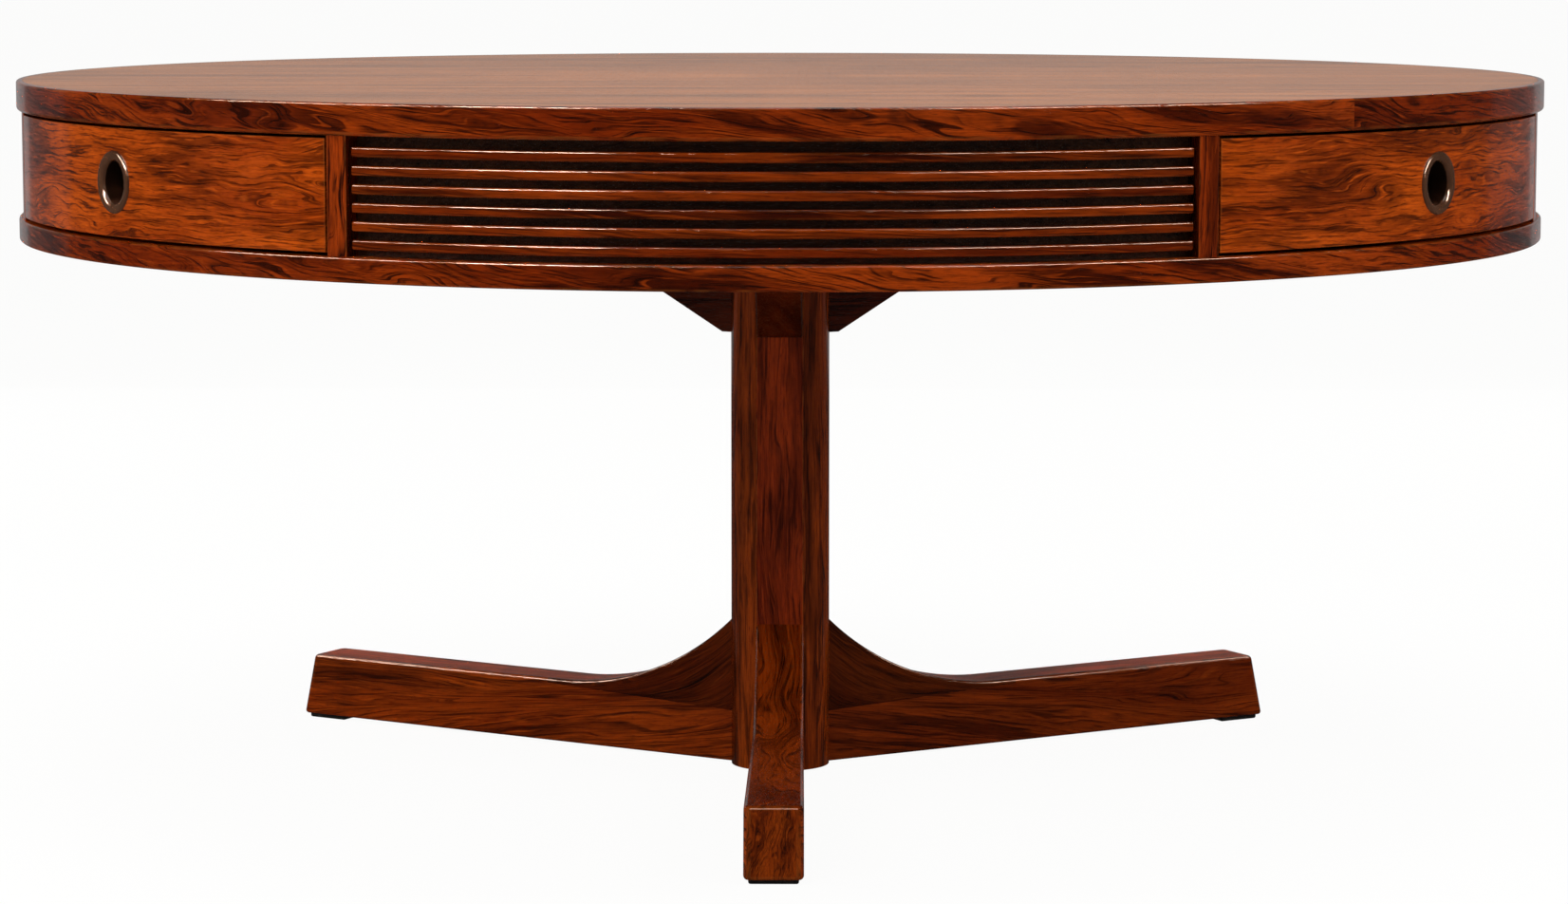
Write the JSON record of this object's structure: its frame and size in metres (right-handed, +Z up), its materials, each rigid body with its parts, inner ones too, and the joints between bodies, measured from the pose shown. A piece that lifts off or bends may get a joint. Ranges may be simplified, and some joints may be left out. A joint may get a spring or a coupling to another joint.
{
  "type": "drum desk",
  "caption": "Round rosewood drum desk: edge-banded top over curved drawers with ring pulls and slatted panels, on a column with splayed legs.",
  "frame": {"origin": "on the floor, on the column's axis, under the centre of the round top", "axes": "+Z up along the column, -Y towards the wide slatted front, +X to the right of someone facing the front leg"},
  "size_m": [1.5238, 1.5238, 0.706],
  "materials": {
    "rosewood_veneer": "glossy lacquered rosewood veneer",
    "rosewood_solid": "glossy lacquered solid rosewood",
    "recess_wood": "dark stained board behind the slats",
    "lining_wood": "satin hardwood drawer lining and runners",
    "pull_dark": "dark bronzed, polished",
    "glide_rubber": "black glide pad"
  },
  "bodies": {
    "carcass": {"column_core": "rosewood_solid", "column_staves": "rosewood_solid", "front_arm": "rosewood_solid", "front_knee_block": "rosewood_solid", "front_left_cheeks": "lining_wood", "front_left_posts": "rosewood_solid", "front_left_runners": "lining_wood", "front_leg": "rosewood_solid", "front_right_cheeks": "lining_wood", "front_right_posts": "rosewood_solid", "front_right_runners": "lining_wood", "glides": "glide_rubber", "left_arm": "rosewood_solid", "left_knee_block": "rosewood_solid", "left_leg": "rosewood_solid", "lower_panel": "rosewood_veneer", "panel_slats": "rosewood_solid", "rear_left_cheeks": "lining_wood", "rear_left_posts": "rosewood_solid", "rear_left_runners": "lining_wood", "rear_right_cheeks": "lining_wood", "rear_right_posts": "rosewood_solid", "rear_right_runners": "lining_wood", "right_arm": "rosewood_solid", "right_knee_block": "rosewood_solid", "right_leg": "rosewood_solid", "slat_boards": "recess_wood", "top_band": "rosewood_solid", "top_panel": "rosewood_veneer"},
    "front_right_drawer": {"front_right_drawer_back": "lining_wood", "front_right_drawer_bottom": "lining_wood", "front_right_drawer_front": "rosewood_solid", "front_right_drawer_left_side": "lining_wood", "front_right_drawer_pull": "pull_dark", "front_right_drawer_right_side": "lining_wood"},
    "rear_right_drawer": {"rear_right_drawer_back": "lining_wood", "rear_right_drawer_bottom": "lining_wood", "rear_right_drawer_front": "rosewood_solid", "rear_right_drawer_left_side": "lining_wood", "rear_right_drawer_pull": "pull_dark", "rear_right_drawer_right_side": "lining_wood"},
    "rear_left_drawer": {"rear_left_drawer_back": "lining_wood", "rear_left_drawer_bottom": "lining_wood", "rear_left_drawer_front": "rosewood_solid", "rear_left_drawer_left_side": "lining_wood", "rear_left_drawer_pull": "pull_dark", "rear_left_drawer_right_side": "lining_wood"},
    "front_left_drawer": {"front_left_drawer_back": "lining_wood", "front_left_drawer_bottom": "lining_wood", "front_left_drawer_front": "rosewood_solid", "front_left_drawer_left_side": "lining_wood", "front_left_drawer_pull": "pull_dark", "front_left_drawer_right_side": "lining_wood"}
  },
  "joints": [
    {"name": "front_right_drawer_slide", "type": "slide", "parent": "carcass", "child": "front_right_drawer", "axis": [0.7965, -0.6046, 0], "range_m": [0, 0.2]},
    {"name": "rear_right_drawer_slide", "type": "slide", "parent": "carcass", "child": "rear_right_drawer", "axis": [0.7965, 0.6046, 0], "range_m": [0, 0.2]},
    {"name": "rear_left_drawer_slide", "type": "slide", "parent": "carcass", "child": "rear_left_drawer", "axis": [-0.7965, 0.6046, 0], "range_m": [0, 0.2]},
    {"name": "front_left_drawer_slide", "type": "slide", "parent": "carcass", "child": "front_left_drawer", "axis": [-0.7965, -0.6046, 0], "range_m": [0, 0.2]}
  ]
}
